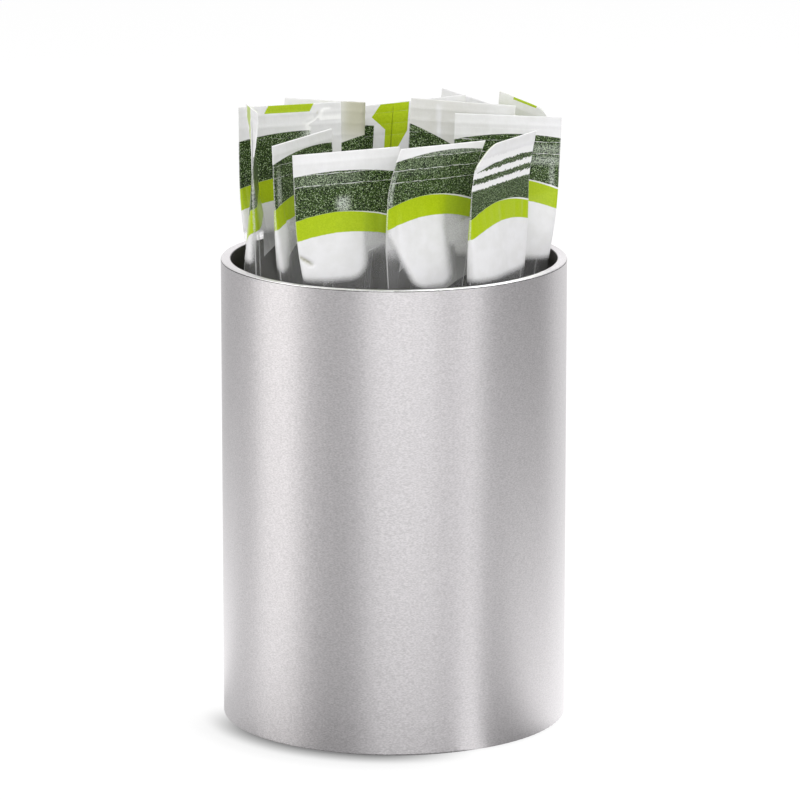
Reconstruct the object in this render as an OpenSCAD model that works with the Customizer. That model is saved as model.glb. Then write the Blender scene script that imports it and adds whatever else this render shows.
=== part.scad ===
// Round steel cup with stick sachets of sugar standing in it.
// The origin is the centre of the underside, Z is up, and the sachets in front face -Y.

/* [Cup] */
// Height of the cup over all
cup_h = 95; // [85:1:105]
// Thickness of the tube's wall
wall_t = 2; // [1.2:0.1:4]
// Room left across the bore beside three flat sachets
bore_room = 1.5; // [1:0.1:6]
// Radius that breaks the edges of the rim and the foot
edge_r = 0.3; // [0.1:0.05:0.5]

/* [Foot] */
// Thickness of the floor disc
floor_t = 1.5; // [1:0.1:3]
// Depth of the step in the wall that the floor disc is let into
step_t = 0.6; // [0.3:0.05:0.8]
// Thickness of the non-slip pad
pad_t = 1.5; // [1:0.1:2.5]
// How far the pad stands out below the tube's foot
pad_proud = 0.4; // [0.2:0.05:0.8]
// Gap all round between the pad and the step
pad_gap = 0.1; // [0.05:0.05:0.3]

/* [Sachets] */
// Width of an empty sachet pressed flat
sachet_w = 21.5; // [18:0.1:24]
// Length of a sachet over both seals
sachet_len = 120; // [108:1:132]
// Height of the crimped seal at each end
seal_h = 7; // [4:0.5:10]
// Length over which a sachet swells from its seal to its full body
shoulder_h = 17; // [10:1:24]
// Thickness of one layer of film
film_t = 0.15; // [0.1:0.01:0.2]
// Height of the ribs that the crimping jaws press into a seal
crimp_t = 0.15; // [0:0.05:0.25]
// Width of the fin seal folded down the back
fin_w = 6; // [4:0.5:8]
// Thickness of the folded fin seal
fin_t = 0.3; // [0.2:0.05:0.4]
// Gap between a sachet and the floor it stands on
seat_gap = 0.3; // [0.1:0.05:0.5]
// Gap between the sugar and the film round it
fill_gap = 0.15; // [0.1:0.05:0.3]

/* [Hidden] */
round_fn = 180;

// The bore takes three sachets side by side, and the tube goes round it.
sachets_across = 3;
bore_r = (sachets_across * sachet_w + bore_room) / 2;
cup_r = bore_r + wall_t;
step_r = bore_r + step_t;
floor_z = pad_t + floor_t;

// Where each sachet stands and leans, as shares of the bore's radius:
// its place on the floor across and back, and its place across and back at the rim's height.
// Then come its turn about its own length in degrees, with 0 facing the front,
// and how far its top seal sways to its own right, as a share of its flat width.
lean_shares = [
  [-0.153, -0.265, -0.255, -0.730, 12.8, 0],
  [0.064, -0.619, 0.193, -0.775, 39.0, 0.10],
  [0.489, -0.393, 0.614, -0.590, 57.2, 0.07],
  [-0.435, -0.097, -0.526, -0.422, 58.2, 0],
  [-0.741, -0.316, -0.834, -0.117, 89.7, 0],
  [-0.611, 0.159, -0.635, 0.342, 14.9, 0],
  [-0.472, 0.434, -0.395, 0.587, -17.8, 0],
  [-0.070, 0.501, 0.086, 0.571, 161.1, 0],
  [0.235, 0.229, 0.380, 0.297, -9.4, 0],
  [0.549, 0.004, 0.663, 0.013, 1.2, 0],
  [0.216, 0.639, 0.407, 0.671, -59.6, 0],
  [0.558, 0.451, 0.751, 0.434, -61.6, 0]
];

// A filled sachet: its thickness is a share of its flat width,
// and its width follows from the film's girth, which stays the same.
body_t_share = 0.37;
body_t = body_t_share * sachet_w;
body_half_w = sqrt(2 * pow(sachet_w / PI, 2) - pow(body_t / 2, 2));

// Rings along a sachet: ribs in each seal, then the swell of each shoulder.
crimp_steps = 4;
shoulder_shares = [0.25, 0.5, 0.75, 1];
// The sugar fills this share of the length between the seals.
fill_share = 0.7;
// The fin lies beside the middle of the back, by this share of its width.
fin_side_share = 0.3;
// The slope at each edge of the fin, as a share of its width.
fin_slope_share = 0.08;

// Small vector helpers.
function unit(v) = v / norm(v);
function smooth(x) = x <= 0 ? 0 : x >= 1 ? 1 : x * x * (3 - 2 * x);
function sign_of(x) = x < 0 ? -1 : 1;

// How full the sachet is at a height along it, from 0 in a seal to 1 in the body.
function fullness(t) = smooth((min(t, sachet_len - t) - seal_h) / shoulder_h);
function half_w(t) = sachet_w / 2 - (sachet_w / 2 - body_half_w) * pow(fullness(t), 2);
function front_t(t) = max(film_t, body_t / 2 * fullness(t));
function back_t(t) = max(film_t, (body_t / 2 - fin_t) * fullness(t));

// The fin starts and ends at nothing, so the sachet's two ends are plain.
function fin_rise(t) = fin_t * min(1, min(t, sachet_len - t) / seal_h);
fin_left = fin_w * (fin_side_share - 1 / 2);
fin_right = fin_w * (fin_side_share + 1 / 2);
fin_slope = fin_w * fin_slope_share;

// A ring's points go from the left edge over the front to the right edge and back behind.
// A ring is an ellipse in the body and nearly a flat strip in a seal.
front_turns = [180, 204, 230, 257, 283, 310, 336, 0];
right_turns = [24, 50];
left_turns = [130, 156];
strip_share = 0.25;
function swell(turn, thick, full) =
  thick * sign_of(sin(turn)) * pow(abs(sin(turn)), strip_share + (1 - strip_share) * full);
function fin_edges(rise) = [
  [fin_right, 0], [fin_right - fin_slope, rise], [fin_left + fin_slope, rise], [fin_left, 0]
];
function ring(wide, front, back, full, rise, shift, lift, z) = [
  for (turn = front_turns) [wide * cos(turn) + shift, swell(turn, front, full) + lift, z],
  for (turn = right_turns) [wide * cos(turn) + shift, swell(turn, back, full) + lift, z],
  for (edge = fin_edges(rise))
    [edge[0] + shift, swell(acos(edge[0] / wide), back, full) + edge[1] + lift, z],
  for (turn = left_turns) [wide * cos(turn) + shift, swell(turn, back, full) + lift, z]
];

// The film's outer rings from the bottom seal to the top seal.
seal_heights = [for (i = [0 : crimp_steps]) seal_h * i / crimp_steps];
shoulder_heights = [for (s = shoulder_shares) seal_h + shoulder_h * s];
low_heights = concat(seal_heights, shoulder_heights);
function mirrored(heights) = [for (i = [len(heights) - 1 : -1 : 0]) sachet_len - heights[i]];
film_heights = concat(low_heights, [sachet_len / 2], mirrored(low_heights));
function rib(i) = i % 2 == 0 ? crimp_t : -crimp_t;
function crimped(i) =
  i <= crimp_steps ? rib(i) : i >= len(film_heights) - 1 - crimp_steps ? rib(i) : 0;
function film_rings(sway) = [
  for (i = [0 : len(film_heights) - 1])
    let (t = film_heights[i], from_top = sachet_len - t)
    ring(half_w(t), front_t(t), back_t(t), fullness(t), fin_rise(t),
      sway * (1 - smooth((from_top - seal_h / 2) / seal_h)), crimped(i), t)
];

// The space inside the film, and the sugar in the lower part of that space.
inner_heights = concat(shoulder_heights, [sachet_len / 2], mirrored(shoulder_heights));
fill_top = seal_h + (sachet_len - 2 * seal_h) * fill_share;
function inner_ring(t, inset, z) =
  ring(half_w(t) - inset, front_t(t) - inset, back_t(t) - inset, fullness(t), 0, 0, 0, z);
function space_rings() = [for (t = inner_heights) inner_ring(t, film_t, t)];
function sugar_rings() = concat(
  [for (t = shoulder_heights) inner_ring(t, film_t + fill_gap, t + fill_gap)],
  [inner_ring(fill_top, film_t + fill_gap, fill_top)]
);

// A closed solid through rings of equally many points.
module loft(rings) {
  count = len(rings[0]);
  last = len(rings) - 1;
  points = [for (r = rings) each r];
  faces = [
    [for (i = [0 : count - 1]) i],
    for (r = [0 : last - 1]) for (i = [0 : count - 1])
      let (a = r * count + i, b = r * count + (i + 1) % count)
      each [[a, a + count, b], [b, a + count, b + count]],
    [for (i = [count - 1 : -1 : 0]) last * count + i]
  ];
  polyhedron(points, faces);
}

// Sets a sachet on the floor at its place, leaning and turned as its row says.
module stand(row) {
  run = unit([(row[2] - row[0]) * bore_r, (row[3] - row[1]) * bore_r, cup_h - floor_z]);
  flat = [cos(row[4]), sin(row[4]), 0];
  across = unit(flat - run * (flat * run));
  back = cross(run, across);
  rise = floor_z + seat_gap + abs(across[2]) * sachet_w / 2 + abs(back[2]) * (film_t + crimp_t);
  multmatrix([
    [across[0], back[0], run[0], row[0] * bore_r],
    [across[1], back[1], run[1], row[1] * bore_r],
    [across[2], back[2], run[2], rise],
    [0, 0, 0, 1]
  ])
    children();
}

// The steel tube: a plain wall with broken edges, stepped at the foot for the floor disc.
module tube_profile() {
  module quarter_off(x, z, right, up) {
    translate([x - (right ? edge_r : 0), z - (up ? edge_r : 0)])
      difference() {
        square(edge_r);
        translate([right ? 0 : edge_r, up ? 0 : edge_r]) circle(edge_r);
      }
  }
  difference() {
    translate([bore_r, pad_proud]) square([wall_t, cup_h - pad_proud]);
    translate([bore_r, pad_proud]) square([step_t, floor_z - pad_proud]);
    quarter_off(cup_r, cup_h, true, true);
    quarter_off(bore_r, cup_h, false, true);
    quarter_off(cup_r, pad_proud, true, false);
  }
}

module cup_tube() {
  color("silver") rotate_extrude($fn = round_fn) tube_profile();
}

// The floor disc sits up against the step.
module base_plate() {
  color("gainsboro")
    translate([0, 0, pad_t]) cylinder(h = floor_t, r = step_r, $fn = round_fn);
}

// The pad lies on the disc's underside and stands a little below the tube.
module foot_pad() {
  color("dimgray") cylinder(h = pad_t, r = step_r - pad_gap, $fn = round_fn);
}

module wrapper(number) {
  row = lean_shares[number - 1];
  color("whitesmoke")
    stand(row)
      difference() {
        loft(film_rings(row[5] * sachet_w));
        loft(space_rings());
      }
}

module sugar(number) {
  color("white") stand(lean_shares[number - 1]) loft(sugar_rings());
}

module stick_01_wrapper() { wrapper(1); }
module stick_02_wrapper() { wrapper(2); }
module stick_03_wrapper() { wrapper(3); }
module stick_04_wrapper() { wrapper(4); }
module stick_05_wrapper() { wrapper(5); }
module stick_06_wrapper() { wrapper(6); }
module stick_07_wrapper() { wrapper(7); }
module stick_08_wrapper() { wrapper(8); }
module stick_09_wrapper() { wrapper(9); }
module stick_10_wrapper() { wrapper(10); }
module stick_11_wrapper() { wrapper(11); }
module stick_12_wrapper() { wrapper(12); }
module stick_01_sugar() { sugar(1); }
module stick_02_sugar() { sugar(2); }
module stick_03_sugar() { sugar(3); }
module stick_04_sugar() { sugar(4); }
module stick_05_sugar() { sugar(5); }
module stick_06_sugar() { sugar(6); }
module stick_07_sugar() { sugar(7); }
module stick_08_sugar() { sugar(8); }
module stick_09_sugar() { sugar(9); }
module stick_10_sugar() { sugar(10); }
module stick_11_sugar() { sugar(11); }
module stick_12_sugar() { sugar(12); }

cup_tube();
base_plate();
foot_pad();
stick_01_wrapper();
stick_02_wrapper();
stick_03_wrapper();
stick_04_wrapper();
stick_05_wrapper();
stick_06_wrapper();
stick_07_wrapper();
stick_08_wrapper();
stick_09_wrapper();
stick_10_wrapper();
stick_11_wrapper();
stick_12_wrapper();
stick_01_sugar();
stick_02_sugar();
stick_03_sugar();
stick_04_sugar();
stick_05_sugar();
stick_06_sugar();
stick_07_sugar();
stick_08_sugar();
stick_09_sugar();
stick_10_sugar();
stick_11_sugar();
stick_12_sugar();
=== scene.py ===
"""Dresses a round brushed-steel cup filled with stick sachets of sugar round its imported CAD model.

The steel tube, floor disc and foot pad keep their CAD meshes and get their finishes here.
Each sachet is modelled again as a sleeve of clear film, printed round its head, with its crimped
seals, its folded fin and the puckers and dents that its filling leaves, and the sugar inside it.
Lengths are in millimetres until a mesh is written, and metres in Blender.
"""

import logging
import math
from collections.abc import Callable
from dataclasses import dataclass, field
from enum import Enum

import bmesh
import bpy
import numpy as np
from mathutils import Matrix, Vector


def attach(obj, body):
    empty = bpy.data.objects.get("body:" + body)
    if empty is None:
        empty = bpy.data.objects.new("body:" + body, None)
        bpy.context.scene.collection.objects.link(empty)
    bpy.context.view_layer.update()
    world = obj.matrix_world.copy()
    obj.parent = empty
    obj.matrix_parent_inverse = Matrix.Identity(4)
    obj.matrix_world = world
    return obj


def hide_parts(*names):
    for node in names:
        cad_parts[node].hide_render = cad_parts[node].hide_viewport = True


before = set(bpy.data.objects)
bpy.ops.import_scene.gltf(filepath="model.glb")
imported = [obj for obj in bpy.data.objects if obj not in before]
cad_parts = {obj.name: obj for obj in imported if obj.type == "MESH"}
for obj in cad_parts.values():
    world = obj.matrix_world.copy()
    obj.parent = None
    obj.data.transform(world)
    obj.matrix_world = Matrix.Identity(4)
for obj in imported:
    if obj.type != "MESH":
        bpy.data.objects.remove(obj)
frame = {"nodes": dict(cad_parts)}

MM = 0.001
WELD = 1e-7
Colour = tuple[float, float, float, float]
log = logging.getLogger("sachet_cup")


class Slot(Enum):
    """The record's material slots for the sachets' pieces."""

    FILM = "printed_film"
    SUGAR = "sugar"


class Side(Enum):
    """The two faces of a flattened sachet."""

    FRONT = "front"
    BACK = "back"


def smooth(x: np.ndarray | float) -> np.ndarray:
    """Eases x from 0 to 1, flat at both ends."""
    x = np.clip(x, 0.0, 1.0)
    return x * x * (3 - 2 * x)


def unit(v: np.ndarray) -> np.ndarray:
    """Gives v the length 1."""
    return v / np.linalg.norm(v)


def grey(value: float) -> Colour:
    """A neutral colour."""
    return (value, value, value, 1.0)


# ---- node helpers


@dataclass(frozen=True, eq=False)
class Nodes:
    """A node tree with short calls for the nodes that the finishes use."""

    tree: bpy.types.NodeTree

    def add(self, kind: str, inputs: dict[int | str, object] | None = None, **settings: object) -> bpy.types.Node:
        """Adds a node, sets its properties and feeds its inputs.

        Args:
            kind: The node's type name.
            inputs: What goes into its inputs, by their names or numbers.
            **settings: Properties of the node, such as operation.

        Returns:
            The new node.
        """
        node = self.tree.nodes.new(kind)
        for name, value in settings.items():
            setattr(node, name, value)
        self.feeds(node, inputs or {})
        return node

    def feeds(self, node: bpy.types.Node, inputs: dict[int | str, object]) -> None:
        """Feeds several inputs of a node, by their names or numbers."""
        for key, value in inputs.items():
            self.feed(node.inputs[key], value)

    def feed(self, socket: bpy.types.NodeSocket, value: object) -> None:
        """Links value to socket if it comes from a node, or else sets it there.

        Args:
            socket: A node's input.
            value: A number, a colour or what a node gives.
        """
        if isinstance(value, Value):
            value = value.socket
        if isinstance(value, bpy.types.NodeSocket):
            self.tree.links.new(value, socket)
        else:
            socket.default_value = value

    def math(self, operation: str, *values: object) -> "Value":
        """Works out one of the Math node's operations on numbers and values."""
        return Value(self, self.add("ShaderNodeMath", dict(enumerate(values)), operation=operation).outputs[0])

    def mix(self, share: object, first: object, second: object) -> bpy.types.NodeSocket:
        """Mixes two colours, from the first at a share of 0 to the second at 1."""
        return self.add("ShaderNodeMix", {0: share, 6: first, 7: second}, data_type="RGBA").outputs[2]

    def noise(self, vector: object, scale: float, detail: float = 2.0, roughness: float = 0.5) -> "Value":
        """Adds a noise texture and returns its value."""
        inputs = {"Vector": vector, "Scale": scale, "Detail": detail, "Roughness": roughness}
        return Value(self, self.add("ShaderNodeTexNoise", inputs).outputs[0])

    def place(self) -> bpy.types.NodeSocket:
        """The Object coordinates."""
        return self.add("ShaderNodeTexCoord").outputs["Object"]

    def attribute(self, name: str) -> "Value":
        """A number that is painted on the mesh's points."""
        return Value(self, self.add("ShaderNodeAttribute", attribute_name=name).outputs["Fac"])

    def combine(self, *parts: object) -> bpy.types.NodeSocket:
        """Joins three numbers into a vector."""
        return self.add("ShaderNodeCombineXYZ", dict(enumerate(parts))).outputs[0]

    def separate(self, vector: object) -> list["Value"]:
        """Splits a vector into its three numbers."""
        return [Value(self, part) for part in self.add("ShaderNodeSeparateXYZ", {0: vector}).outputs]

    def for_camera(self, seen: bpy.types.NodeSocket, lit: bpy.types.NodeSocket) -> bpy.types.NodeSocket:
        """Shows the shader seen to the camera, and the shader lit to all other rays."""
        camera = self.add("ShaderNodeLightPath").outputs["Is Camera Ray"]
        return self.add("ShaderNodeMixShader", {0: camera, 1: lit, 2: seen}).outputs[0]


def sums(operation: str, swapped: bool = False) -> Callable[..., "Value"]:
    """Makes a method of Value that works out one of the Math node's operations.

    Args:
        operation: The operation.
        swapped: Whether the value itself comes second.

    Returns:
        The method.
    """
    def method(self: "Value", *other: object) -> "Value":
        """Works out the operation on this value and the other."""
        return self.nodes.math(operation, *((*other, self) if swapped else (self, *other)))
    return method


@dataclass(frozen=True, eq=False)
class Value:
    """A number that a node gives, for sums that are written as Python's own."""

    nodes: Nodes
    socket: bpy.types.NodeSocket

    __add__, __mul__ = sums("ADD"), sums("MULTIPLY")
    __sub__, __rsub__ = sums("SUBTRACT"), sums("SUBTRACT", True)
    __truediv__, __rtruediv__ = sums("DIVIDE"), sums("DIVIDE", True)
    __lt__, __gt__ = sums("LESS_THAN"), sums("GREATER_THAN")
    __mod__, __abs__ = sums("MODULO"), sums("ABSOLUTE")
    at_least, at_most = sums("MAXIMUM"), sums("MINIMUM")

    def ramp(self, *limits: object) -> "Value":
        """Maps the value smoothly from the first two limits to the last two, or else to 0 and 1."""
        node = self.nodes.add("ShaderNodeMapRange", dict(enumerate((self, *limits))), interpolation_type="SMOOTHSTEP")
        return Value(self.nodes, node.outputs[0])


def from_axis(nodes: Nodes, x: Value, y: Value) -> Value:
    """How far a point lies from the upright axis."""
    return nodes.math("SQRT", x * x + y * y)


def new_group(name: str, inputs: dict[str, float],
              outputs: dict[str, str]) -> tuple[Nodes, dict[str, Value], bpy.types.Node]:
    """Starts a shader node group.

    Args:
        name: The group's name.
        inputs: Each input's name with its default.
        outputs: Each output's name with its socket type.

    Returns:
        The group's nodes, its inputs by name and its output node.
    """
    tree = bpy.data.node_groups.new(name, "ShaderNodeTree")
    for key, value in inputs.items():
        tree.interface.new_socket(key, in_out="INPUT", socket_type="NodeSocketFloat").default_value = value
    for key, kind in outputs.items():
        tree.interface.new_socket(key, in_out="OUTPUT", socket_type=kind)
    nodes = Nodes(tree)
    given = nodes.add("NodeGroupInput")
    return nodes, {key: Value(nodes, given.outputs[key]) for key in inputs}, nodes.add("NodeGroupOutput")


def new_material(name: str) -> tuple[bpy.types.Material, Nodes, bpy.types.Node]:
    """Starts a material with one Principled BSDF.

    Args:
        name: The material's name.

    Returns:
        The material, its nodes and its shader.
    """
    material = bpy.data.materials.new(name)
    material.use_nodes = True
    material.node_tree.nodes.clear()
    nodes = Nodes(material.node_tree)
    shader = nodes.add("ShaderNodeBsdfPrincipled")
    nodes.add("ShaderNodeOutputMaterial", {0: shader.outputs[0]})
    return material, nodes, shader


def add_bump(nodes: Nodes, shader: bpy.types.Node, height: object, depth: float) -> None:
    """Feeds a height to the shader's normal; a height of 1 stands for depth millimetres."""
    bump = nodes.add("ShaderNodeBump", {"Height": height, "Distance": depth * MM, "Strength": 1.0})
    nodes.feed(shader.inputs["Normal"], bump.outputs[0])


def to_mesh(bm: bmesh.types.BMesh, name: str) -> bpy.types.Mesh:
    """Turns a bmesh into a mesh.

    Args:
        bm: The bmesh, which is freed.
        name: The mesh's name.

    Returns:
        The mesh.
    """
    mesh = bpy.data.meshes.new(name)
    bm.to_mesh(mesh)
    bm.free()
    return mesh


def add_object(data: bpy.types.ID) -> bpy.types.Object:
    """Adds an object to the scene.

    Args:
        data: Its mesh, light or camera, whose name it takes.

    Returns:
        The object.
    """
    thing = bpy.data.objects.new(data.name, data)
    bpy.context.scene.collection.objects.link(thing)
    return thing


# ---- shared effects


def brushing_group() -> bpy.types.NodeTree:
    """Builds the fine lines that brushing leaves round an upright axis.

    Returns:
        A group that gives a streak and a fleck value from Object coordinates.
    """
    nodes, given, out = new_group("brushing", {"Line pitch": 0.15, "Line length": 2.0},
                                  {"Streak": "NodeSocketFloat", "Fleck": "NodeSocketFloat"})
    x, y, z = nodes.separate(nodes.place())
    along, across = 1.0 / MM / given["Line length"], 1.0 / MM / given["Line pitch"]
    lines = nodes.combine(x * along, y * along, (z + from_axis(nodes, x, y)) * across)
    short = nodes.add("ShaderNodeVectorMath", {0: lines, 1: (3.6, 3.6, 0.75)}, operation="MULTIPLY")
    nodes.feeds(out, {"Streak": nodes.noise(lines, 1.0, 3.0, 0.7),
                      "Fleck": nodes.noise(short.outputs[0], 1.0, 1.0, 0.6)})
    return nodes.tree


@dataclass(frozen=True)
class Arch:
    """An edge of the print, low millimetres below the top at its peak and bowed down to both sides."""

    low: float
    bow: float
    peak: float

    def at(self, n: Value) -> Value:
        """Its depth at n, a share of the half width from the middle."""
        off = n - self.peak
        return off * off * self.bow + self.low


@dataclass(frozen=True)
class FilmPrint:
    """The print and the surface of the sachets' film, with the highlights and shade painted on it, from its own film
    coordinates.
    """

    size: "SachetSize"
    dark_top: Arch = Arch(3.5, 1.0, 0.25)
    dark_foot: Arch = Arch(12.3, 2.0, 0.05)
    lime_foot: Arch = Arch(16.6, 2.0, 0.05)
    edge_blur: float = 0.06
    patch_blur: float = 1.05
    strip_sides: tuple[float, float] = (-0.42, 0.46)
    tab_depths: tuple[float, float] = (0.1, 12.0)
    seal_depth: float = 8.2
    haze: float = 0.07
    raggedness: float = 0.12
    fraying: float = 0.9
    lime_highlight_damping: float = 0.8
    ink: tuple[Colour, Colour] = ((0.001, 0.006, 0.001, 1), (0.052, 0.094, 0.018, 1))
    ink_speck: Colour = (0.31, 0.40, 0.23, 1)
    ink_lit: Colour = (0.62, 0.67, 0.60, 1)
    lime_tones: tuple[Colour, Colour] = ((0.335, 0.46, 0.003, 1), (0.40, 0.52, 0.008, 1))
    lime_unbacked: Colour = (0.15, 0.26, 0.03, 1)
    whites: tuple[Colour, Colour] = (grey(0.685), (0.73, 0.73, 0.74, 1))
    white_lit: Colour = grey(0.90)
    white_shaded: Colour = (0.36, 0.35, 0.22, 1)
    glint_tone: Colour = grey(0.78)

    def build(self) -> bpy.types.NodeTree:
        """Builds the group.

        Returns:
            A group that gives the colour, roughness, height and alpha of the film.
        """
        nodes, given, out = new_group(
            "printed film",
            {"Slip": 0.0, "Strip": 0.0, "Skew": 0.0, "Rib highlight": 0.1, "Seed": 0.0, "Shine": 0.3, "Wrap": 2.2,
             "Rib slip": 0.0},
            {"Color": "NodeSocketColor", "Roughness": "NodeSocketFloat", "Height": "NodeSocketFloat",
             "Alpha": "NodeSocketFloat"})
        width, half = self.size.width, self.size.width / 2
        u, v, _ = nodes.separate(nodes.add("ShaderNodeUVMap", uv_map="film").outputs[0])
        arc = u * (2 * width)
        below = (1.0 - v) * self.size.length
        place = nodes.combine(arc, below, given["Seed"] * 7.31)

        # Where a point lies on the front, as a share of the half width from its middle.
        turned = arc > 1.75 * width
        n = (arc - turned * (2 * width) - half) / half
        on_front = abs(n) < given["Wrap"] / half + 1.0
        ragged = (nodes.noise(place, 2.2, 2.0) - 0.5) * self.raggedness
        depth = below - given["Slip"] + ragged - (n.at_most(1.0) + 1.0) * given["Skew"]

        def past(edge: Value) -> Value:
            """1 below an edge of the print and 0 above it."""
            return (depth - edge).ramp(-self.edge_blur, self.edge_blur)

        dark_foot, above_foot = self.dark_foot.at(n), 1.0 - past(self.lime_foot.at(n))
        dark = past(self.dark_top.at(n)) * (1.0 - past(dark_foot)) * on_front
        hair = n.ramp(-0.3, 0.9, 0.0, 0.34)
        lime = past(dark_foot + hair) * above_foot * on_front
        lime = lime.at_least(self.late_cut(n, below, given["Strip"])).at_least(self.tab(arc, below))

        # The film is clear below its print, but for a white patch that fades out at its sides and foot.
        frayed = (nodes.noise(place, 4.5, 2.0, 0.7) - 0.5) * self.fraying
        backed = (nodes.attribute("patch") + frayed).ramp(-self.patch_blur, self.patch_blur)
        colour = self.inks(nodes, place, dark, lime, backed)

        # Painted highlights: thin light lines on the crests of the crimping jaws' ribs, and along the side folds.
        broken = nodes.noise(place, 3.7, 3.0, 0.8) * 2.0
        solid = given["Rib highlight"].ramp(0.3, 0.5)
        jawed = below - given["Rib slip"]
        glinting = self.on_ribs(nodes, place, jawed, given["Rib highlight"], broken, solid) * (jawed < self.seal_depth)
        glinting = glinting * (1.0 - lime * self.lime_highlight_damping) * solid.ramp(0.0, 1.0, 0.85, 1.0)
        off_fold = abs(abs(n) - 1.0)
        glinting = glinting.at_least(off_fold.ramp(0.012, 0.03, 0.55, 0.0) * broken.ramp(0.7, 1.2))
        nodes.feed(out.inputs["Color"], nodes.mix(glinting, colour, self.glint_tone))
        cover = above_foot.at_least(backed).at_least(off_fold.ramp(0.008, 0.022, 0.5, 0.0))
        nodes.feed(out.inputs["Alpha"], cover.at_least(self.haze))

        # Film is glossy where it is plain and a little duller on the ink.
        nodes.feed(out.inputs["Roughness"], given["Shine"] + dark * 0.06 + nodes.noise(place, 0.9, 3.0) * 0.08)

        # Height: small wrinkles of the film and the grain of the ink.
        wrinkle = nodes.noise(nodes.combine(arc * 0.55, below * 0.3, given["Seed"]), 1.0, 3.0, 0.55)
        nodes.feed(out.inputs["Height"], wrinkle * 0.8 + nodes.noise(place, 4.0, 2.0, 0.7) * 0.10)
        return nodes.tree

    def late_cut(self, n: Value, below: Value, strip: Value) -> Value:
        """The foot of the next sachet's print, which shows at the top where the web was cut late.

        Args:
            n: Places across, as shares of the half width from the middle.
            below: Places below the top.
            strip: How far down it reaches.

        Returns:
            1 on it.
        """
        slant = n + below * 0.05
        left, right = self.strip_sides
        return (below < strip) * ((slant > left) * (slant < right))

    def tab(self, arc: Value, below: Value) -> Value:
        """A plain lime tab on the back's seal, with an arrow-shaped left side.

        Args:
            arc: Places round the film.
            below: Places below the top.

        Returns:
            1 on it.
        """
        half = self.size.width / 2
        b = (arc - 3 * half) / half
        left = (-0.68 - below * 0.067).at_least(below * 0.098 + -1.105).at_most(-0.57)
        right = (0.18 - below * 0.05).at_most(-0.12)
        top, foot = self.tab_depths
        return (b > left) * (b < right) * (below < foot) * (below > top)

    def inks(self, nodes: Nodes, place: bpy.types.NodeSocket, dark: Value, lime: Value,
             backed: Value) -> bpy.types.NodeSocket:
        """The colours: the dark band is a fine mottle, the lime is even, the film is white; painted highlights and
        painted shade come from the painted light attribute.

        Args:
            nodes: The group's nodes.
            place: The film coordinates that the noises read.
            dark: Where the dark band is.
            lime: Where the lime is.
            backed: Where the film has its white backing.

        Returns:
            The colour before the ribs are rubbed.
        """
        mottle, speck = nodes.noise(place, 3.6, 1.0, 0.7), nodes.noise(place, 4.6, 0.0, 0.5)
        # The painted light attribute: positive values paint highlights, negative values paint khaki shade.
        painted_light = nodes.attribute("painted_light")
        shine, shadow = painted_light.at_least(0.0), painted_light.at_most(0.0) * -1.0
        green = nodes.mix(mottle.ramp(0.40, 0.62), *self.ink)
        green = nodes.mix(speck.ramp(0.60, 0.71), green, self.ink_speck)
        # Painted highlight on the dark ink, speckled by its mottle.
        green = nodes.mix(shine * mottle.ramp(0.34, 0.60, 0.1, 1.0), green, self.ink_lit)
        fresh = nodes.mix(mottle.ramp(0.3, 0.7), *self.lime_tones)
        fresh = nodes.mix(backed.ramp(0.0, 1.0, 0.42, 0.0), fresh, self.lime_unbacked)
        plain = nodes.mix(nodes.noise(place, 0.35, 3.0).ramp(0.3, 0.7), *self.whites)
        # The white film with a painted highlight (white_lit) and painted shade (white_shaded).
        white = nodes.mix(shadow, nodes.mix(shine * 1.2, plain, self.white_lit), self.white_shaded)
        colour = nodes.mix(lime, nodes.mix(dark, white, green), fresh)
        # Painted light well above 1 hides the print under plain white film, a painted glare on folded film.
        return nodes.mix(painted_light.ramp(1.2, 1.6), colour, plain)

    def on_ribs(self, nodes: Nodes, place: bpy.types.NodeSocket, jawed: Value, highlight_half: Value, broken: Value,
                solid: Value) -> Value:
        """Where painted highlights lie on the ribs' crests: in faint broken lines, or in ragged solid bands.

        Args:
            nodes: The group's nodes.
            place: The film coordinates that the noises read.
            jawed: Places below the jaws' top edge.
            highlight_half: Half the width of a highlight line.
            broken: A fine noise that breaks up the lines.
            solid: 1 for solid bands and 0 for faint lines.

        Returns:
            1 where a highlight is painted, or else 0.
        """
        pitch = self.size.rib_pitch
        wander = (nodes.noise(place, 0.4, 2.0) - 0.5) * 0.5
        off = abs((jawed + wander - self.size.rib_first + pitch / 2) % pitch - pitch / 2)
        faint = broken * nodes.noise(place, 0.9, 2.0).ramp(0.38, 0.62, 0.25, 1.35)
        rough = (nodes.noise(place, 1.5, 3.0, 0.7) - 0.5) * 2.6
        return off < highlight_half * (faint * (1.0 - solid) + (rough + 1.0) * solid)


# ---- finishes


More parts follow.
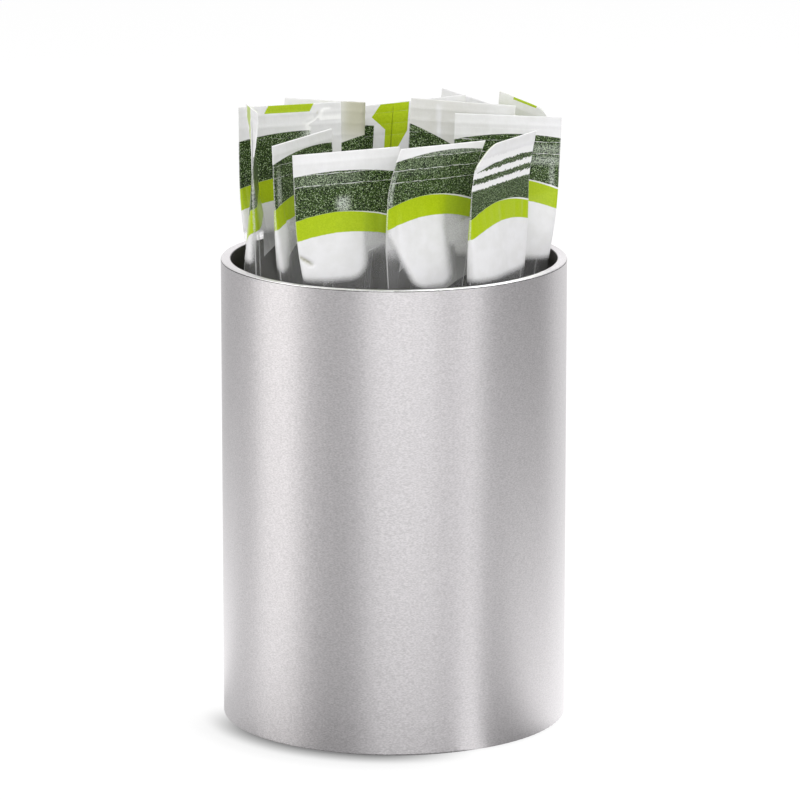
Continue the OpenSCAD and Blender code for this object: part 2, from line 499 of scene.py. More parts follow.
@dataclass(frozen=True)
class BrushedSteel:
    """Stainless steel, brushed round the axis of the cup."""

    name: str = "brushed steel"
    tone: tuple[float, float, float] = (0.600, 0.582, 0.592)
    roughness: float = 0.42
    spread: float = 0.74
    line_pitch: float = 0.13
    line_length: float = 1.6
    line_depth: float = 0.0035
    bore: float = 0.0
    wall: float = 2.0
    height: float = 95.0
    edge: float = 0.28
    edge_line: float = 0.2
    edge_fall: float = 0.15
    bore_shade_tone: Colour = (0.11, 0.105, 0.09, 1.0)
    rim_highlight_tone: Colour = grey(0.98)
    edge_dark_reflection_tone: Colour = grey(0.015)

    def shade(self, share: float) -> Colour:
        """The tone, made lighter or darker."""
        return tuple(min(1.0, c * share) for c in self.tone) + (1.0,)

    def build(self, brushing: bpy.types.NodeTree) -> bpy.types.Material:
        """Makes the material.

        Args:
            brushing: The shared brushing group.

        Returns:
            The material.
        """
        material, nodes, shader = new_material(self.name)
        lines = nodes.add("ShaderNodeGroup", {"Line pitch": self.line_pitch, "Line length": self.line_length},
                          node_tree=brushing)
        streak, fleck = (Value(nodes, socket) for socket in lines.outputs)
        grain = fleck * 0.75 + streak * 0.25
        colour = nodes.mix(grain.ramp(0.33, 0.67), self.shade(0.87), self.shade(1.12))
        if self.bore:
            colour = self.with_rim(nodes, colour)
        tangent = nodes.add("ShaderNodeTangent", direction_type="RADIAL", axis="Z")
        nodes.feeds(shader, {
            "Base Color": colour, "Metallic": 1.0, "Anisotropic": self.spread, "Anisotropic Rotation": 0.25,
            "Roughness": fleck.ramp(0.25, 0.75, -0.05, 0.05) + self.roughness, "Tangent": tangent.outputs[0]})
        add_bump(nodes, shader, streak, self.line_depth)
        return material

    def with_rim(self, nodes: Nodes, colour: bpy.types.NodeSocket) -> bpy.types.NodeSocket:
        """Paints shade into the bore, a highlight on the near rim, and fine dark lines along the rim's edges as
        painted dark reflections.

        Args:
            nodes: The material's nodes.
            colour: The wall's colour.

        Returns:
            The colour with the bore and the rim.
        """
        x, y, z = nodes.separate(nodes.place())
        away = from_axis(nodes, x, y)
        toward = y / away
        # Painted shade: the bore is painted dark.
        inside = away.ramp((self.bore + 0.05) * MM, (self.bore + 0.25) * MM, 1.0, 0.0)
        colour = nodes.mix(inside, colour, self.bore_shade_tone)
        # Painted highlight on the rim's top face, on its near side towards -y.
        rim = z > (self.height - self.edge) * MM
        colour = nodes.mix(toward.ramp(-0.9, -0.2, 1.0, 0.0) * rim, colour, self.rim_highlight_tone)
        # Fine dark lines along the rim's outer and inner edges: painted dark reflections in their small chamfers.
        outer = (away > (self.bore + self.wall - self.edge_line) * MM) * (z < (self.height - self.edge_fall) * MM)
        inner = away < toward.ramp(-0.95, -0.30, self.bore + 0.95, self.bore + 0.12) * MM
        return nodes.mix(outer.at_least(inner) * rim, colour, self.edge_dark_reflection_tone)


@dataclass(frozen=True)
class Rubber:
    """The dark non-slip foot pad, lightly moulded."""

    name: str = "foot pad rubber"
    tone: float = 0.018
    roughness: float = 0.62

    def build(self) -> bpy.types.Material:
        """Makes the material.

        Returns:
            The material.
        """
        material, nodes, shader = new_material(self.name)
        place = nodes.place()
        cloudy = nodes.noise(place, 0.25 / MM, 3.0)
        nodes.feeds(shader, {
            "Base Color": nodes.mix(cloudy.ramp(0.35, 0.65), grey(self.tone * 0.7), grey(self.tone * 1.5)),
            "Roughness": cloudy.ramp(0.3, 0.7, self.roughness - 0.08, self.roughness + 0.08)})
        add_bump(nodes, shader, nodes.noise(place, 2.5 / MM, 2.0), 0.05)
        return material


@dataclass(frozen=True)
class SugarGrains:
    """White sugar, seen through the clear film."""

    name: str = "sugar grains"
    grain: float = 0.45

    def build(self) -> bpy.types.Material:
        """Makes the material.

        Returns:
            The material.
        """
        material, nodes, shader = new_material(self.name)
        cells = nodes.add("ShaderNodeTexVoronoi", {"Vector": nodes.place(), "Scale": 1 / (self.grain * MM)})
        gap = Value(nodes, cells.outputs["Distance"])
        nodes.feeds(shader, {"Base Color": nodes.mix(gap.ramp(0.1, 0.7), grey(0.90), grey(0.74)), "Roughness": 0.5})
        add_bump(nodes, shader, gap, -0.15)
        return material


@dataclass(frozen=True)
class PrintedFilm:
    """One sachet's clear film with its printed bands."""

    number: int
    pose: "StickPose"
    specular: float = 0.20
    coat: float = 0.07
    coat_roughness: float = 0.16
    bump: float = 0.10

    def build(self, film_print: bpy.types.NodeTree) -> bpy.types.Material:
        """Makes the material.

        Args:
            film_print: The shared group of the film's print.

        Returns:
            The material.
        """
        pose = self.pose
        material, nodes, shader = new_material(f"printed film {self.number:02d}")
        film = nodes.add("ShaderNodeGroup", {
            "Slip": pose.slip, "Strip": pose.strip, "Skew": pose.skew, "Rib highlight": pose.rib_highlight,
            "Shine": pose.shine, "Seed": self.number, "Wrap": pose.wrap, "Rib slip": pose.rib_slip},
            node_tree=film_print)
        nodes.feeds(shader, {
            "Base Color": film.outputs["Color"], "Roughness": film.outputs["Roughness"],
            "Alpha": film.outputs["Alpha"], "Specular IOR Level": self.specular,
            "Coat Weight": self.coat, "Coat Roughness": self.coat_roughness})
        add_bump(nodes, shader, film.outputs["Height"], self.bump)
        return material


# ---- sachets


@dataclass(frozen=True)
class SachetSize:
    """The sizes that every sachet shares, as in the CAD model, in millimetres.

    The upper shoulder and the settled sugar are this model's own.
    """

    width: float = 21.5
    length: float = 120.0
    seal: float = 7.0
    shoulder: float = 17.0
    top_shoulder: float = 30.0
    film: float = 0.15
    thickness_share: float = 0.37
    rib_pitch: float = 2.4
    rib_first: float = 1.9
    rib_height: float = 0.06
    rib_half: float = 0.42
    fin_width: float = 6.0
    fin_thickness: float = 0.3
    fin_middle_share: float = 0.3
    fill_share: float = 0.7
    settled: float = 2.0

    @property
    def fill_top(self) -> float:
        """How high the sugar stands in the sachet."""
        return self.seal + (self.length - 2 * self.seal) * self.fill_share - self.settled

    @property
    def thickness(self) -> float:
        """Thickness of the full body."""
        return self.thickness_share * self.width

    @property
    def body_half(self) -> float:
        """Half the body's width, from the girth that the film keeps."""
        return math.sqrt(2 * (self.width / math.pi) ** 2 - (self.thickness / 2) ** 2)

    def fullness(self, t: np.ndarray) -> np.ndarray:
        """How full the sachet is at t along it, from 0 in a seal to 1 in the body."""
        return smooth(np.minimum((t - self.seal) / self.shoulder, (self.length - t - self.seal) / self.top_shoulder))

    def half_width(self, t: np.ndarray) -> np.ndarray:
        """Half the sachet's width at t along it."""
        return self.width / 2 - (self.width / 2 - self.body_half) * self.fullness(t) ** 2

    def back(self, full: np.ndarray) -> np.ndarray:
        """How far the middle of the back lies behind the seals' plane."""
        return np.maximum(self.film, (self.thickness / 2 - self.fin_thickness) * full)


def lens(sine: np.ndarray, full: np.ndarray) -> np.ndarray:
    """The section's shape, from a flat strip in the seals to an ellipse in the body."""
    return np.abs(sine) ** (0.25 + 0.75 * full)


@dataclass(frozen=True)
class Crease:
    """A sharp fold of the film, from one point of its front to another; its glow paints a highlight along it if
    positive, and shade if negative.

    Points are [across, below the top] in millimetres, with 0 across in the middle.
    """

    start: tuple[float, float]
    end: tuple[float, float]
    depth: float
    half: float
    glow: float = 0.0

    def press(self, across: np.ndarray, below: np.ndarray) -> np.ndarray:
        """How strong the crease is at each point.

        Args:
            across: Places across the film.
            below: Places below its top.

        Returns:
            A share at each place, 1 on the crease's line.
        """
        a, b = np.array(self.start), np.array(self.end)
        run = b - a
        share = ((across - a[0]) * run[0] + (below - a[1]) * run[1]) / run.dot(run)
        held = np.clip(share, 0, 1)
        off = np.hypot(across - (a[0] + held * run[0]), below - (a[1] + held * run[1]))
        fade = np.sin(np.pi * np.clip(share * 0.9 + 0.05, 0, 1)) ** 0.5
        return fade * np.clip(1 - off / self.half, 0, 1) ** 1.5


@dataclass(frozen=True)
class Patch:
    """The white patch below the print, by its sides as seen from the front.

    Sides are in millimetres from the sachet's middle line, at the patch's head and at its foot.
    A thin veil of the same white covers the film down to the depth veil, and fades out below it.
    """

    left: tuple[float, float] = (-20.0, -20.0)
    right: tuple[float, float] = (20.0, 20.0)
    foot: float = 27.5
    corner: float = 2.0
    head: float = 17.0
    veil: float = 0.0
    veil_fade: float = 4.5

    def inside(self, aside: np.ndarray, below: np.ndarray) -> np.ndarray:
        """How far each point lies inside the patch.

        Args:
            aside: Places to the side of the middle line.
            below: Places below the sachet's top.

        Returns:
            The distance to the patch's edge, negative outside it.
        """
        share = np.clip((below - self.head) / (self.foot - self.head), 0, 1.3)
        left, right = (side[0] + (side[1] - side[0]) * share for side in (self.left, self.right))
        side = np.maximum(left - aside, aside - right) + self.corner
        down = below - self.foot + self.corner
        outer = np.hypot(np.maximum(side, 0), np.maximum(down, 0))
        solid = self.corner - outer - np.minimum(np.maximum(side, down), 0)
        return np.maximum(solid, -np.clip((below - self.veil) / self.veil_fade, 0, 3))


@dataclass(frozen=True)
class PaintedLightSpot:
    """A soft spot of painted light on the front: a painted highlight if its strength is positive, painted shade if
    negative.

    From 1.2 on it hides the print under plain white film, a painted glare on film that is folded away.
    """

    middle: tuple[float, float]
    spread: tuple[float, float]
    strength: float

    def light(self, across: np.ndarray, below: np.ndarray) -> np.ndarray:
        """How strong the spot is at each place."""
        off = ((across - self.middle[0]) / self.spread[0]) ** 4 + ((below - self.middle[1]) / self.spread[1]) ** 4
        return self.strength * np.exp(-off)


@dataclass(frozen=True)
class StickPose:
    """Where one sachet stands, how it is bent and how its print lies.

    The first four values are the CAD model's: floor and rim places as shares of the bore's
    radius, the turn in degrees and the top seal's sway as a share of the width. The drop and the
    cut are the top corners', left and right; lengths are in millimetres.
    """

    floor: tuple[float, float]
    rim: tuple[float, float]
    turn: float
    sway: float = 0.0
    slip: float = 0.0
    strip: float = 0.0
    skew: float = 0.0
    rib_highlight: float = 0.045
    shine: float = 0.27
    twist: float = 0.0
    fold: float = 0.0
    drop: tuple[float, float] = (0.0, 0.0)
    cut: tuple[float, float] = (0.0, 0.0)
    wrap: float = 2.2
    rib_slip: float = 0.0
    creases: tuple[Crease, ...] = ()
    patch: Patch = Patch()
    painted_lights: tuple[PaintedLightSpot, ...] = ()


@dataclass
class Sachet:
    """One stick sachet: a sleeve of film, crimped at both ends, with a fin down its back."""

    number: int
    pose: StickPose
    size: SachetSize = field(default_factory=SachetSize)
    columns: int = 112
    fin_columns: int = 14
    sugar_columns: int = 64
    sugar_inset: float = 0.22
    fin_sunk: float = 0.06
    fold_radius: float = 0.5
    bore_radius: float = 33.0
    rim_height: float = 95.0
    floor_height: float = 3.0
    seat_gap: float = 0.3
    crimp_height: float = 0.15
    pucker_pitches: tuple[float, ...] = (3.1, 4.7, 7.4)
    pucker_fade: float = 7.5
    dent_count: int = 9
    loose_pitches: tuple[float, ...] = (6.0, 11.0, 23.0)
    loose_height: float = 0.09
    corner_reach: float = 26.0
    fold_start: float = 10.5
    fold_fade: float = 8.0
    sway_gain: float = 1.28
    sway_reach: float = 1.5
    sway_power: float = 1.7
    crown: tuple[float, ...] = (0.35, 0.6, 0.75, 0.8)
    crown_shares: tuple[float, ...] = (0.86, 0.62, 0.34, 0.08)
    heap: float = 0.05

    @property
    def name(self) -> str:
        """The sachet's body in the record."""
        return f"stick_{self.number:02d}"

    def rows(self) -> np.ndarray:
        """Chooses the heights of the mesh's rings, close together where the film is crimped or puckered.

        Returns:
            The heights, from the foot up.
        """
        size = self.size
        stops = (0, size.seal + 1.5, size.seal + size.shoulder, size.length - 50, size.length - 33,
                 size.length - 10, size.length)
        counts = (22, 14, 12, 18, 52, 51)
        parts = [np.linspace(low, high, count)[1:] for low, high, count in zip(stops, stops[1:], counts)]
        return np.concatenate([[0.0], *parts])

    def stand(self) -> tuple[np.ndarray, np.ndarray]:
        """The sachet's three axes and its foot's place, as the CAD model has them.

        Returns:
            A matrix whose columns are across, back and along, and the place.
        """
        pose, size = self.pose, self.size
        foot = np.array(pose.floor) * self.bore_radius
        run = unit(np.append(np.array(pose.rim) * self.bore_radius - foot, self.rim_height - self.floor_height))
        flat = np.array([math.cos(math.radians(pose.turn)), math.sin(math.radians(pose.turn)), 0])
        across = unit(flat - run * flat.dot(run))
        back = np.cross(run, across)
        rise = self.floor_height + self.seat_gap + abs(across[2]) * size.width / 2
        rise += abs(back[2]) * (size.film + self.crimp_height)
        return np.column_stack([across, back, run]), np.append(foot, rise)

    def round_grid(self, columns: int, rows: int) -> tuple[bmesh.types.BMesh, np.ndarray]:
        """Makes a flat grid with the layers that the film's finish reads.

        Args:
            columns: How many faces it has across.
            rows: How many points it has along.

        Returns:
            The grid, from -0.5 to 0.5, and its columns' angles round a sleeve, from the left edge.
        """
        bm = bmesh.new()
        bm.loops.layers.uv.new("film")
        for name in ("patch", "painted_light"):
            bm.verts.layers.float.new(name)
        bmesh.ops.create_grid(bm, x_segments=columns, y_segments=rows - 1, size=0.5, calc_uvs=True)
        bm.verts.index_update()
        return bm, (math.pi + 2 * math.pi * np.arange(columns + 1) / columns)[None, :]

    def section(self, turns: np.ndarray, t: np.ndarray) -> tuple[np.ndarray, np.ndarray]:
        """The plain sleeve before it is dented.

        Args:
            turns: Angles round the sleeve in radians, as a row.
            t: Heights along it, as a column or for each point.

        Returns:
            Places across and back at each height and angle.
        """
        size, sine = self.size, np.sin(turns)
        full = size.fullness(t)
        thick = np.where(sine < 0, np.maximum(size.film, size.thickness / 2 * full), size.back(full))
        return size.half_width(t) * np.cos(turns), thick * np.sign(sine) * lens(sine, full)

    def film_arc(self, x: np.ndarray, y: np.ndarray) -> np.ndarray:
        """How far round the film each point lies from its left edge.

        Args:
            x: Places across, ring by ring.
            y: Places back.

        Returns:
            The distances in millimetres.
        """
        step = np.hypot(np.diff(x, axis=1), np.diff(y, axis=1))
        arc = np.concatenate([np.zeros((len(x), 1)), np.cumsum(step, axis=1)], axis=1)
        return arc * 2 * self.size.width / arc[:, -1:]

    def dents(self, across: np.ndarray, below: np.ndarray, side: Side) -> np.ndarray:
        """How far the film falls in behind its full shape.

        Args:
            across: Places across the flat film, in millimetres from the side's middle.
            below: Places below the top.
            side: Which face of the sachet.

        Returns:
            The depth at each place, in millimetres.
        """
        rng = np.random.default_rng(110 * self.number + (side is Side.BACK))
        size = self.size
        depth = np.zeros_like(across + below)
        # Puckers fan out from both seals and die away down the shoulders.
        for end in (below, size.length - below):
            past = end - size.seal
            grow = smooth(past / 2.5) * np.exp(-np.clip(past, 0, None) / self.pucker_fade)
            spread = 1 - 0.012 * np.clip(past, 0, None)
            wave = np.zeros_like(depth)
            for pitch in self.pucker_pitches:
                shift = rng.uniform(0, 2 * math.pi)
                wave = wave + rng.uniform(0.6, 1.0) * np.cos(2 * math.pi * across / (pitch * spread) + shift)
            depth = depth + grow * (0.10 + 0.34 * np.clip(wave / 1.6, 0, None) ** 1.6)
        # Broad dents where the sugar has settled away from the film.
        for _ in range(self.dent_count):
            middle = rng.uniform(-7.5, 7.5), rng.uniform(size.seal + 8, size.length - size.seal - 8)
            spread = rng.uniform(2.2, 4.8), rng.uniform(5.0, 13.0)
            push = rng.uniform(0.25, 0.75)
            depth = depth + push * np.exp(
                -((across - middle[0]) / spread[0]) ** 2 - ((below - middle[1]) / spread[1]) ** 2)
        if side is Side.FRONT:
            for crease in self.pose.creases:
                depth = depth + crease.depth * crease.press(across, below)
        return depth

    def sunk(self, arc: np.ndarray, y: np.ndarray, below: np.ndarray) -> np.ndarray:
        """The film's places back once it is dented.

        Args:
            arc: Places round the film.
            y: Places back before.
            below: Places below the top.

        Returns:
            The places back.
        """
        width = self.size.width
        depth = np.where(arc > width, self.dents(arc - 1.5 * width, below, Side.BACK),
                         self.dents(arc - 0.5 * width, below, Side.FRONT))
        room = np.clip(np.abs(y) - self.size.film, 0, None)
        edge = smooth(np.minimum.reduce([arc, np.abs(arc - width), 2 * width - arc]) / 2.2)
        return y - np.sign(y) * np.minimum(depth * edge, room * 0.8)

    def ribs(self, t: np.ndarray) -> np.ndarray:
        """How far the crimping jaws push both layers of film towards the back.

        Args:
            t: Heights along the sachet.

        Returns:
            The push at each height, negative towards the front.
        """
        size = self.size
        out = np.zeros_like(t)
        for end in (t, size.length - t):
            off = np.abs((end - size.rib_first + size.rib_pitch / 2) % size.rib_pitch - size.rib_pitch / 2)
            inside = smooth((size.seal + 1.1 - end) / 0.8) * smooth(end / 0.8)
            out = out - inside * size.rib_height * np.exp(-(off / size.rib_half) ** 2)
        return out

    def folded(self, x: np.ndarray, y: np.ndarray, below: np.ndarray) -> tuple[np.ndarray, np.ndarray]:
        """Folds the right corner of the top over behind the sachet.

        Args:
            x: Places across.
            y: Places back.
            below: Places below the top.

        Returns:
            The new places across and back.
        """
        radius = self.fold_radius
        place = self.size.width / 2 - self.pose.fold * (1 - smooth((below - self.fold_start) / self.fold_fade))
        past = np.clip(x - place, 0, None)
        turn = np.minimum(past / radius, math.pi)
        beyond = np.clip(past - radius * math.pi, 0, None)
        return x - past + (radius - y) * np.sin(turn) - beyond, y + (radius - y) * (1 - np.cos(turn))

    def bent(self, x: np.ndarray, y: np.ndarray, t: np.ndarray) -> np.ndarray:
        """Folds, twists, drops and sways the top, and stands the sachet in the cup.

        Args:
            x: Places across.
            y: Places back.
            t: Heights.

        Returns:
            Each point's place in the cup, in millimetres.
        """
        size, pose = self.size, self.pose
        below = size.length - t
        x, y = self.folded(x, y, below)
        high = np.clip(1 - below / (self.sway_reach * size.seal), 0, 1) ** self.sway_power
        sway = self.sway_gain * pose.sway * size.width * high
        turn = np.radians(pose.twist) * (1 - smooth((below - 1.0) / (size.seal + 5)))
        x, y = x * np.cos(turn) - y * np.sin(turn), x * np.sin(turn) + y * np.cos(turn)
        side = np.clip(x / size.width + 0.5, 0, 1)
        drop = pose.drop[0] + (pose.drop[1] - pose.drop[0]) * side
        drop = drop * (1 - smooth((below - 2.0) / self.corner_reach))
        return self.stood(x + sway, y, t - drop)

    def stood(self, x: np.ndarray, y: np.ndarray, along: np.ndarray) -> np.ndarray:
        """Each point's place in the cup."""
        axes, foot = self.stand()
        return np.stack([x, y, along], axis=-1) @ axes.T + foot

    def trimmed(self, across: np.ndarray) -> np.ndarray:
        """Heights of the mesh's points, with the top corners cut as the sachet's own are.

        Args:
            across: Places across the flat film, as a row or for each point.

        Returns:
            A height for each ring and place.
        """
        size, pose, rows = self.size, self.pose, self.rows()[:, None]
        near = size.width / 6
        left, right = (np.clip((place - near) / (size.width / 2 - near), 0, 1) ** 2 * cut
                       for place, cut in zip((-across, across), pose.cut))
        return rows - (left + right) * smooth((rows - size.length + 3 * size.seal) / (3 * size.seal))

    def patch_at(self, x: np.ndarray, y: np.ndarray, below: np.ndarray) -> np.ndarray:
        """How far each point lies inside the white patch."""
        axes, _ = self.stand()
        return self.pose.patch.inside(axes[0, 0] * x + axes[0, 1] * y, below)

    def place(self, bm: bmesh.types.BMesh, places: np.ndarray, arc: np.ndarray, t: np.ndarray,
              values: dict[str, np.ndarray]) -> None:
        """Moves a flat grid's points to their places and gives them their film coordinates.

        Args:
            bm: The mesh that holds a flat grid from -0.5 to 0.5.
            places: Each point's place in millimetres.
            arc: How far round the film it lies.
            t: How far along it lies.
            values: The values that are painted on the points, by name.
        """
        uv, painted = bm.loops.layers.uv["film"], bm.verts.layers.float
        spot = {}
        for vert in bm.verts:
            at = (round((vert.co.y + 0.5) * (arc.shape[0] - 1)), round((vert.co.x + 0.5) * (arc.shape[1] - 1)))
            spot[vert.index] = at
            vert.co = Vector(places[at] * MM)
            for name, value in values.items():
                vert[painted[name]] = float(value[at])
        for face in bm.faces:
            for loop in face.loops:
                at = spot[loop.vert.index]
                loop[uv].uv = (arc[at] / (2 * self.size.width), t[at] / self.size.length)

    def closed(self, bm: bmesh.types.BMesh) -> bmesh.types.BMesh:
        """Welds a sleeve's seam, closes its ends and turns its faces outward.

        Args:
            bm: The placed grid.

        Returns:
            The same mesh.
        """
        bmesh.ops.remove_doubles(bm, verts=bm.verts, dist=WELD)
        ends = [edge for edge in bm.edges if edge.is_boundary]
        caps = bmesh.ops.holes_fill(bm, edges=ends, sides=0)["faces"]
        uv = bm.loops.layers.uv["film"]
        for face in caps:
            for loop in face.loops:
                outer = [other for other in loop.vert.link_loops if other.face is not face]
                if outer:
                    loop[uv].uv = outer[0][uv].uv
        bmesh.ops.triangulate(bm, faces=caps)
        bmesh.ops.recalc_face_normals(bm, faces=bm.faces)
        return bm

    def sleeve(self) -> bmesh.types.BMesh:
        """Rolls a flat web of film into the sachet's closed sleeve, with its film coordinates.

        Returns:
            The sleeve as a bmesh.
        """
        size, pose = self.size, self.pose
        bm, turns = self.round_grid(self.columns, len(self.rows()))
        t = self.trimmed(np.cos(turns) * size.width / 2)
        x, y = self.section(turns, t)
        arc = self.film_arc(x, y)
        below = size.length - t
        y = self.sunk(arc, y, below) + self.ribs(t)
        across = arc - size.width / 2
        # Painted light: highlight and shade spots, and the creases' painted highlights and shade along their lines.
        painted_lights = sum((painted_light.light(across, below) for painted_light in pose.painted_lights), 0 * arc)
        painted_lights = painted_lights + sum((crease.glow * crease.press(across, below) for crease in pose.creases), 0 * arc)
        values = {"patch": self.patch_at(x, y, below), "painted_light": painted_lights}
        self.place(bm, self.bent(x, y, t), arc, t, values)
        return self.closed(bm)

    def fin(self) -> bmesh.types.BMesh:
        """Makes the fin seal, a folded flap that lies down the back.

        Returns:
            The flap as a bmesh.
        """
        size, steps = self.size, self.fin_columns
        rng = np.random.default_rng(900 + self.number)
        bm, _ = self.round_grid(2 * steps, len(self.rows()))
        share = np.concatenate([np.linspace(0, 1, steps + 1), np.linspace(1, 0, steps + 1)[1:]])
        upper = np.concatenate([np.ones(steps + 1), np.zeros(steps)])
        upper[[0, steps, -1]] = 0.5
        x = size.fin_width * (size.fin_middle_share + share - 0.5) + 0 * self.rows()[:, None]
        t = self.trimmed(x)
        below, half, full = size.length - t, size.half_width(t), size.fullness(t)
        lie = size.back(full) * lens(np.sqrt(np.clip(1 - (x / half) ** 2, 0, 1)), full)
        arc = 1.5 * size.width - x * (size.width / 2) / half
        dent = self.dents(arc - 1.5 * size.width, below, Side.BACK)
        lie = lie - np.minimum(dent, np.clip(lie - size.film, 0, None) * 0.8)
        waves = np.zeros_like(t)
        for pitch in self.loose_pitches:
            waves = waves + np.sin(2 * math.pi * t / pitch + rng.uniform(0, 6.3)) * self.loose_height
        loose = share ** 3 * (full * (0.10 + np.abs(waves)))
        rise = size.fin_thickness * np.minimum(1, np.minimum(t, below) / size.seal)
        y = lie - self.fin_sunk + upper * (rise + self.fin_sunk) + loose + self.ribs(t)
        values = {"patch": self.patch_at(x, y, below), "painted_light": 0 * x}
        self.place(bm, self.bent(x, y, t), arc, t, values)
        bmesh.ops.remove_doubles(bm, verts=bm.verts, dist=WELD)
        bmesh.ops.holes_fill(bm, edges=[edge for edge in bm.edges if edge.is_boundary], sides=0)
        bmesh.ops.recalc_face_normals(bm, faces=bm.faces)
        return bm

    def sugar(self) -> bmesh.types.BMesh:
        """Makes the sugar, which fills the film from its foot up to the fill level.

        Returns:
            The sugar as a bmesh.
        """
        size, inset = self.size, self.sugar_inset
        rng = np.random.default_rng(700 + self.number)
        body, shelf = size.seal + size.shoulder, size.fill_top - self.crown[-1]
        heights = np.concatenate([
            np.linspace(size.seal + 1.2, body, 16), np.linspace(body, shelf, 56)[1:], shelf + np.array(self.crown)])
        shares = np.append(np.ones(len(heights) - len(self.crown)), self.crown_shares)[:, None]
        bm, turns = self.round_grid(self.sugar_columns, len(heights))
        t = heights[:, None] + 0 * turns
        x, y = self.section(turns, t)
        arc = self.film_arc(x, y)
        y = self.sunk(arc, y, size.length - t)
        heap = rng.normal(0, self.heap, t.shape)
        heap[:, -1] = heap[:, 0]
        x = x * np.clip(1 - 1.6 * inset / size.half_width(t), 0, 1) * shares
        y = np.sign(y) * np.clip(np.abs(y) - inset, 0.02, None) * shares
        self.place(bm, self.stood(x, y, t + heap * (t > size.fill_top - 1.0)), arc, t, {})
        return self.closed(bm)

    def add_piece(self, bm: bmesh.types.BMesh, kind: str, replaced: str,
                  material: bpy.types.Material) -> bpy.types.Object:
        """Makes a piece of a bmesh and puts it in place of its CAD solid.

        Args:
            bm: The piece's mesh, which is freed.
            kind: The last word of its name.
            replaced: The last word of its CAD node's name.
            material: Its finish.

        Returns:
            The piece's object.
        """
        for face in bm.faces:
            face.smooth = True
        mesh = to_mesh(bm, f"{self.name}_{kind}")
        mesh.materials.append(material)
        piece = add_object(mesh)
        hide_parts(f"{self.name}_{replaced}")
        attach(piece, self.name)
        log.info("%s: %d faces", piece.name, len(mesh.polygons))
        return piece

    def build(self, film_print: bpy.types.NodeTree, sugar: bpy.types.Material) -> None:
        """Makes the wrapper and the sugar.

        Args:
            film_print: The shared group of the film's print.
            sugar: The sugar's finish.
        """
        whole, flap = self.sleeve(), to_mesh(self.fin(), "flap")
        whole.from_mesh(flap)
        bpy.data.meshes.remove(flap)
        film = PrintedFilm(self.number, self.pose).build(film_print)
        piece = self.add_piece(whole, "film", "wrapper", film)
        self.add_piece(self.sugar(), "fill", "sugar", sugar)


